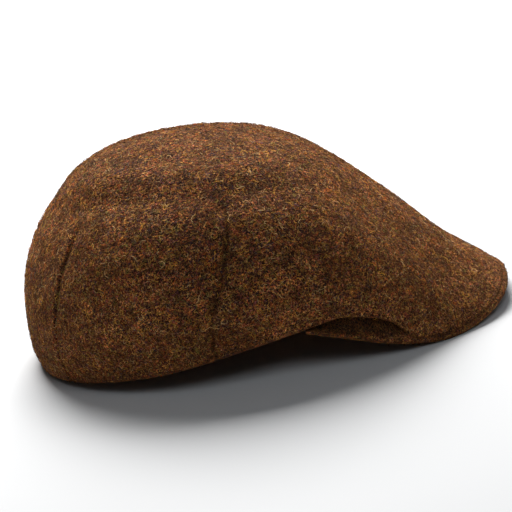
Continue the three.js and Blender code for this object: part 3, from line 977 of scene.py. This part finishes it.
def make_tweed(name, tone):
    """Heather tweed; tone makes all of its wool lighter or darker."""
    material, tree, shader = wool_surface(name, 0.92, 0.1, sheen=0.5, sheen_roughness=0.3)
    space = add_node(tree, "ShaderNodeTexCoord").outputs["Object"]
    cloth = add_node(tree, "ShaderNodeUVMap", uv_map="cloth").outputs[0]
    stray = add_node(tree, "ShaderNodeTexNoise", {"Vector": space, "Scale": 1 / STRAY_SIZE, "Detail": 2.0})
    bending = {0: stray.outputs["Color"], 1: (STRAY_REACH,) * 3, 2: space}
    bent = add_node(tree, "ShaderNodeVectorMath", bending, operation="MULTIPLY_ADD").outputs[0]
    blend, tuft_height, tuft_tone = blend_of_wools(tree, bent)
    wool, raised = crossing_fibres(tree, space, blend)
    yarn_tone, weft = yarns_and_weft(tree, cloth)
    slow = add_node(tree, "ShaderNodeTexNoise", {"Vector": space, "Scale": 1 / SHADE_PATCH, "Detail": 1.0})
    # painted shade from the attribute seam: the crown's darts, puckers and edges, and the peak under the
    # cloth's edge
    painted_shade = add_node(tree, "ShaderNodeAttribute", attribute_name="seam").outputs["Fac"]
    patches = {0: patch_tone(tree, space), 1: tone}
    patched = add_node(tree, "ShaderNodeMath", patches, operation="MULTIPLY").outputs[0]
    levels = (
        (raised, 0.26, 1.6),  # shade between the fibres
        (tuft_tone, 0.15, 1.85),
        (yarn_tone, 0.75, 1.25),
        (slow.outputs[0], 0.6, 1.3),
        (weft, 0.88, 1.12),
        # painted shade, down to 0.3 of the tone
        (painted_shade, 1.0, 0.3),  # shade and crushed nap in a seam
    )
    lit = {0: wool, "Scale": multiplied(tree, patched, levels)}
    colour = add_node(tree, "ShaderNodeVectorMath", lit, operation="SCALE").outputs[0]
    tree.links.new(colour, shader.inputs["Base Color"])
    raised_nap = {0: raised, 1: FIBRE_RISE, 2: tuft_height}
    nap = add_node(tree, "ShaderNodeMath", raised_nap, operation="MULTIPLY_ADD").outputs[0]
    woven = {0: weft, 1: WEFT_RISE, 2: nap}
    height = add_node(tree, "ShaderNodeMath", woven, operation="MULTIPLY_ADD").outputs[0]
    rough = add_node(tree, "ShaderNodeBump", {"Strength": 1.0, "Distance": NAP_HEIGHT, "Height": height})
    tree.links.new(rough.outputs[0], shader.inputs["Normal"])
    return material


crown.data.materials.append(make_tweed("heather_tweed_crown", 1.0))
print("nodes in the tweed:", len(crown.data.materials[0].node_tree.nodes))

# %% [markdown]
# The peak wears the same tweed, made a little darker. Its own flat layout is simply its view from above.

# %% Tweed on the peak
PEAK_TONE = 0.8

layer = peak.data.uv_layers.new(name="cloth")
for loop in peak.data.loops:
    layer.data[loop.index].uv = peak.data.vertices[loop.vertex_index].co.xy
peak.data.materials.append(make_tweed("heather_tweed_peak", PEAK_TONE))
print("materials:", crown.data.materials[0].name, peak.data.materials[0].name)

# %% [markdown]
# Wool cloth is covered with loose fibres: a short down that blurs its edges, and longer curly hairs
# in stray colours that lie on it. Blender's hair would do, but it can't be exported as it is seen.
# So one strand is a thin three-sided rod, extruded ring by ring, and all strands are copies of it
# whose rings are set along curled lines. They are drawn several times thicker than real fibre,
# which would not show.

# %% One strand


def strand_form(rings):
    """Mesh of one straight strand, with the ring and the corner of each of its vertices."""
    rod = bmesh.new()
    bmesh.ops.create_circle(rod, segments=3, radius=1, cap_ends=True)
    rod.faces.ensure_lookup_table()
    end = rod.faces[0]
    for _ in range(rings - 1):
        made = bmesh.ops.extrude_face_region(rod, geom=[end])["geom"]
        end = next(item for item in made if isinstance(item, bmesh.types.BMFace))
        bmesh.ops.translate(rod, verts=end.verts, vec=(0, 0, 1))
    bmesh.ops.recalc_face_normals(rod, faces=rod.faces)
    mesh = bpy.data.meshes.new("strand")
    rod.to_mesh(mesh)
    rod.free()
    places = np.empty(len(mesh.vertices) * 3)
    mesh.vertices.foreach_get("co", places)
    places = places.reshape(-1, 3)
    return mesh, places[:, 2].round().astype(int), places[:, :2]


trial = strand_form(4)[0]
print("a strand of 4 rings:", len(trial.polygons), "faces")
bpy.data.meshes.remove(trial)

# %% [markdown]
# Strands have to be spread evenly over the cloth, not over the net, whose cells crowd at the
# darts. So a cell is picked by its area, and then a place in it.

# %% Places on the cloth


def scatter(net, count, random):
    """Random places on a net of points, spread evenly over its area, with their normals."""
    a, b, c, d = net[:-1, :-1], net[1:, :-1], net[1:, 1:], net[:-1, 1:]
    across = np.cross(c - a, b - d)
    area = np.linalg.norm(across, axis=-1)
    pick = random.choice(area.size, count, p=(area / area.sum()).ravel())
    cell = np.unravel_index(pick, area.shape)
    s, t = random.random((2, count, 1))
    place = (1 - s) * ((1 - t) * a[cell] + t * d[cell]) + s * ((1 - t) * b[cell] + t * c[cell])
    return place, across[cell] / area[cell][:, None]


HEM_ROWS = 9  # rows of the net at the lower edge that grow only short fibres
crown_outside = rested_crown[1:OUTER_ROWS + RIM_ROWS // 2]
crown_outside = np.concatenate([crown_outside, crown_outside[:, :1]], 1)
above_hem = crown_outside[:OUTER_ROWS - HEM_ROWS]
peak_outside = peak_net[:, TOP_STEPS - 1:2 * TOP_STEPS + RIM_STEPS]
print("rows of the crown that grow fibres:", len(crown_outside), "long ones:", len(above_hem))

# %% [markdown]
# A fibre keeps the crimp it had on the sheep: its heading changes steadily, so it curls, and
# wavers a little at each step. Lying hairs rise in the middle and end on the cloth, while down
# stands up from it.

# %% Curled lines and rods along them
WAVER = 0.5  # radians at each ring, for a strand that is fully curled
FULL_CURL = 6  # radians
ROOT_SINK = 0.05 * MM  # the ends start below the surface
LYING_START = 0.12  # share of half a circle where a lying hair begins
LYING_SPAN = 0.76
THINNING = 0.6  # how much thinner a strand is at its end
NUDGE = 0.01  # so that a strand along its normal has a side too


def unit(vectors):
    return vectors / np.linalg.norm(vectors, axis=-1, keepdims=True)


def curled_lines(random, place, normal, rings, length, lift, curl, standing):
    """A row of places for each strand, from its root."""
    number = len(place)
    first = unit(np.cross(normal, random.normal(size=(number, 3))))
    second = np.cross(normal, first)
    t = np.linspace(0, 1, rings)
    span = random.uniform(*length, (number, 1)) / (rings - 1)
    heading = random.uniform(-curl, curl, (number, 1)) * t
    heading = heading + WAVER * random.normal(size=(number, rings)) * min(curl / FULL_CURL, 1)
    ahead = np.cumsum(np.cos(heading) * span, 1) - span
    aside = np.cumsum(np.sin(heading) * span, 1)
    top = random.uniform(*lift, (number, 1))
    height = top * (t if standing else np.sin(math.pi * (LYING_START + LYING_SPAN * t)))
    line = place[:, None] + ahead[..., None] * first[:, None] + aside[..., None] * second[:, None]
    return line + (height - ROOT_SINK)[..., None] * normal[:, None]


def rods_along(line, normal, thickness, ring, corner):
    """Places of all vertices of the strands, none of them below the floor."""
    tangent = unit(np.gradient(line, axis=1))
    wide = unit(np.cross(tangent, normal[:, None] + NUDGE))
    deep = np.cross(tangent, wide)
    radius = thickness / 2 * (1 - THINNING * np.linspace(0, 1, line.shape[1]) ** 2)
    turned = corner[:, 0, None] * wide[:, ring] + corner[:, 1, None] * deep[:, ring]
    places = line[:, ring] + turned * radius[ring][:, None]
    places[..., 2] = np.maximum(places[..., 2], 0)
    return places


hair = {"rings": 9, "length": (5 * MM, 5 * MM), "lift": (0, 0), "curl": 6, "standing": False}
one = np.zeros((1, 3)), np.array([[0, 0, 1.0]])
curled = curled_lines(np.random.default_rng(1), *one, **hair)
print("a curled hair of 5 mm spans, mm:", np.round(np.ptp(curled[0], axis=0) * 1000, 1))

# %% [markdown]
# All strands of one kind are one piece: copies of the form joined in one mesh, whose vertices are
# then set in one step. Each strand takes one colour of the blend, lighter or darker at random, and
# carries it as an attribute. The random numbers start from a seed, so each run grows the same cap.

# %% Growing strands
STRAND_BRIGHTNESS = (0.35, 1.35)


def grow_strands(name, nets, count, rings, length, thickness, lift, curl, standing, shades, seed):
    """Curly strands over nets of points, as one piece with a colour on each strand."""
    random = np.random.default_rng(seed)
    form, ring, corner = strand_form(rings)
    found = [scatter(net, round(count * share), random) for net, share in nets]
    place, normal = (np.concatenate(parts) for parts in zip(*found))
    line = curled_lines(random, place, normal, rings, length, lift, curl, standing)
    joined = bmesh.new()
    for _ in range(len(place)):
        joined.from_mesh(form)
    mesh = bpy.data.meshes.new(name)
    joined.to_mesh(mesh)
    joined.free()
    bpy.data.meshes.remove(form)
    places = rods_along(line, normal, thickness, ring, corner)
    mesh.vertices.foreach_set("co", places.astype(np.float32).ravel())
    mesh.update()
    mesh.shade_smooth()
    palette = np.array([linear(code) for _, code in shades])
    weights = np.array([weight for weight, _ in shades])
    chosen = palette[random.choice(len(shades), len(place), p=weights / weights.sum())]
    chosen[:, :3] *= random.uniform(*STRAND_BRIGHTNESS, (len(place), 1))
    colours = mesh.color_attributes.new("wool", "FLOAT_COLOR", "POINT")
    colours.data.foreach_set("color", np.repeat(chosen, len(ring), 0).astype(np.float32).ravel())
    print(name, len(place), "strands,", len(mesh.polygons), "faces")
    return into_scene(name, mesh)


print("a strand is between", *STRAND_BRIGHTNESS, "times as bright as its wool")

# %% [markdown]
# A loose fibre catches the light one by one, so it is a little glossier than the cloth below, and
# it glows in the same warm tone. It brightens and darkens with the patches of the cloth, or it
# would float over them.

# %% Loose wool fibre


def make_fibre():
    """Loose wool fibre, with the colour that each strand carries."""
    material, tree, shader = wool_surface("loose_wool_fibre", 0.7, 0.15, sheen=0.4, sheen_roughness=0.5)
    colour = add_node(tree, "ShaderNodeAttribute", attribute_name="wool").outputs["Color"]
    space = add_node(tree, "ShaderNodeTexCoord").outputs["Object"]
    lit = {0: colour, "Scale": patch_tone(tree, space)}
    toned = add_node(tree, "ShaderNodeVectorMath", lit, operation="SCALE")
    tree.links.new(toned.outputs[0], shader.inputs["Base Color"])
    return material


fibre = make_fibre()
print("nodes in the fibre:", len(fibre.node_tree.nodes))

# %% [markdown]
# Four kinds of loose wool cover the cap. Down is short, dull and stands up. Curls are the long
# stray hairs, and lint and wisps the shorter ones between them. Near the hem only short fibres
# grow, because long ones would hang below it.

# %% Down, curls, lint and wisps
DOWN_SHADES = (  # weight and colour
    (3.0, "#4c2f1c"),  # umber
    (3.0, "#6e4223"),  # chestnut
    (2.0, "#8a5a30"),  # light brown
    (1.5, "#9a4e20"),  # rust
    (1.0, "#a67c38"),  # ochre
    (0.7, "#6b6834"),  # olive
    (1.5, "#2e1c13"),  # dark brown
)
CURL_SHADES = (
    (1.2, "#dab478"),  # undyed cream
    (3.0, "#d89a38"),  # gold
    (2.0, "#c8601c"),  # bright rust
    (1.2, "#928a3c"),  # olive
    (3.2, "#100b0a"),  # black
    (1.5, "#8a4c20"),  # chestnut
    (0.9, "#80302e"),  # brick red
    (0.9, "#403a50"),  # navy
)
EVERYWHERE = ((crown_outside, 0.9), (peak_outside, 0.1))
ABOVE_HEM = ((above_hem, 1.0),)
STRANDS = {
    "wool_down": dict(
        nets=EVERYWHERE, count=9000, rings=4, length=(0.9 * MM, 2.4 * MM), thickness=0.1 * MM,
        lift=(0.15 * MM, 1.0 * MM), curl=1.5, standing=True, shades=DOWN_SHADES, seed=3,
    ),
    "wool_curls": dict(
        nets=ABOVE_HEM, count=3600, rings=9, length=(3 * MM, 8 * MM), thickness=0.23 * MM,
        lift=(0.2 * MM, 0.8 * MM), curl=6, standing=False, shades=CURL_SHADES, seed=5,
    ),
    "wool_lint": dict(
        nets=EVERYWHERE, count=9000, rings=4, length=(1.2 * MM, 3 * MM), thickness=0.24 * MM,
        lift=(0.1 * MM, 0.5 * MM), curl=5, standing=False, shades=CURL_SHADES, seed=11,
    ),
    "wool_wisps": dict(
        nets=ABOVE_HEM, count=9000, rings=4, length=(1.5 * MM, 4 * MM), thickness=0.22 * MM,
        lift=(0.1 * MM, 0.6 * MM), curl=4, standing=False, shades=CURL_SHADES, seed=8,
    ),
}

for name, kind in STRANDS.items():
    piece = grow_strands(name, **kind)
    piece.data.materials.append(fibre)
    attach(piece, "root")

# %% [markdown]
# The camera stands where the photographer's did: level with the right side of the cap, a little
# above it, and turned a few degrees about its own line of sight. Its place is first worked out
# round the level headband, and then tipped back with the cap.

# %% Camera
VIEW_TURN = math.radians(-6)
VIEW_DOWN = math.radians(19.71)
VIEW_ROLL = math.radians(19.41)
VIEW_DISTANCE = 1.3
PIXEL = 0.54 * MM  # size of one pixel at the cap
PICTURE = 512
MIDDLE_PIXEL = (223.7, 301.3)  # where the picture shows the middle of the headband
SENSOR = 36
HIGH_UP = np.array((0, 0, 9.0))  # metres, where tipping back is clear of the floor


def turned_with_cap(way):
    return Vector(on_floor(np.array(way) + HIGH_UP) - on_floor(HIGH_UP))


def view_axes():
    """Right, up and back of the picture, and the line of sight, round the level headband."""
    right = Vector((math.cos(VIEW_TURN), -math.sin(VIEW_TURN), 0))
    level = math.cos(VIEW_DOWN)
    ahead = Vector((math.sin(VIEW_TURN) * level, math.cos(VIEW_TURN) * level, -math.sin(VIEW_DOWN)))
    up = right.cross(ahead)
    picture_right = right * math.cos(VIEW_ROLL) - up * math.sin(VIEW_ROLL)
    picture_up = right * math.sin(VIEW_ROLL) + up * math.cos(VIEW_ROLL)
    over, below = PICTURE / 2 - MIDDLE_PIXEL[0], MIDDLE_PIXEL[1] - PICTURE / 2
    aim = ahead * VIEW_DISTANCE + PIXEL * (over * picture_right + below * picture_up)
    aim.normalize()
    picture_right = (picture_right - aim * picture_right.dot(aim)).normalized()
    return (picture_right, picture_right.cross(aim), -aim), ahead


def place_camera():
    axes, ahead = view_axes()
    axes = [turned_with_cap(axis) for axis in axes]
    data = bpy.data.cameras.new("camera")
    data.sensor_width = SENSOR
    data.lens = SENSOR * VIEW_DISTANCE / (PIXEL * PICTURE)
    camera = into_scene("camera", data)
    turn = Matrix([[axis[i] for axis in axes] for i in range(3)]).to_4x4()
    stand = Vector(on_floor(np.zeros(3))) + turned_with_cap(-ahead * VIEW_DISTANCE)
    camera.matrix_world = Matrix.Translation(stand) @ turn
    bpy.context.scene.camera = camera
    return camera


camera = place_camera()
print("camera at", [round(c, 3) for c in camera.matrix_world.translation], "lens", round(camera.data.lens, 1))

# %% [markdown]
# The photograph is lit from above and a little behind, so the top is bright and the side that
# faces the camera falls into shade. One large lamp does that, with soft edges to its shadow, and
# a weak, cooler one opens the shade. The world adds just enough that nothing is black.

# %% Light and colour
LAMP_SIZE = 1.0
WORLD_LIGHT = 0.06


def area_light(name, place, power, colour):
    """Square lamp that faces the cap."""
    data = bpy.data.lights.new(name, "AREA")
    data.shape = "SQUARE"
    data.size = LAMP_SIZE
    data.energy = power
    data.color = colour
    lamp = into_scene(name, data)
    lamp.location = place
    lamp.rotation_euler = (-Vector(place)).to_track_quat("-Z", "Y").to_euler()


area_light("light_above", (-0.15, 1.0, 1.15), 60, (1, 1, 1))
area_light("light_side", (0.4, -1.1, 1.5), 7, (0.88, 0.94, 1.0))
world = bpy.data.worlds.new("studio")
world.use_nodes = True
world.node_tree.nodes["Background"].inputs["Color"].default_value = (1, 1, 1, 1)
world.node_tree.nodes["Background"].inputs["Strength"].default_value = WORLD_LIGHT
bpy.context.scene.world = world
bpy.context.scene.view_settings.view_transform = "Standard"
print("lamps:", [thing.name for thing in bpy.data.lights])

# %% [markdown]
# The cap stands on a wide sheet of matt paper. Paper is rough and hardly shines, so the eye sees
# only the soft shadow on it. It is a pale grey: white paper would throw too much light back up
# under the cap.

# %% Floor of paper
FLOOR_HALF = 6  # metres

plane = bmesh.new()
bmesh.ops.create_grid(plane, x_segments=1, y_segments=1, size=FLOOR_HALF)
floor_mesh = bpy.data.meshes.new("floor")
plane.to_mesh(floor_mesh)
plane.free()
paper = bpy.data.materials.new("matt_white_paper")
paper.use_nodes = True
paper_shader = paper.node_tree.nodes["Principled BSDF"]
paper_shader.inputs["Base Color"].default_value = linear("#cccccc")
paper_shader.inputs["Roughness"].default_value = 0.9
paper_shader.inputs["Specular IOR Level"].default_value = 0.2
floor_mesh.materials.append(paper)
floor = into_scene("floor", floor_mesh)
print("floor, m:", [round(side, 1) for side in floor.dimensions])
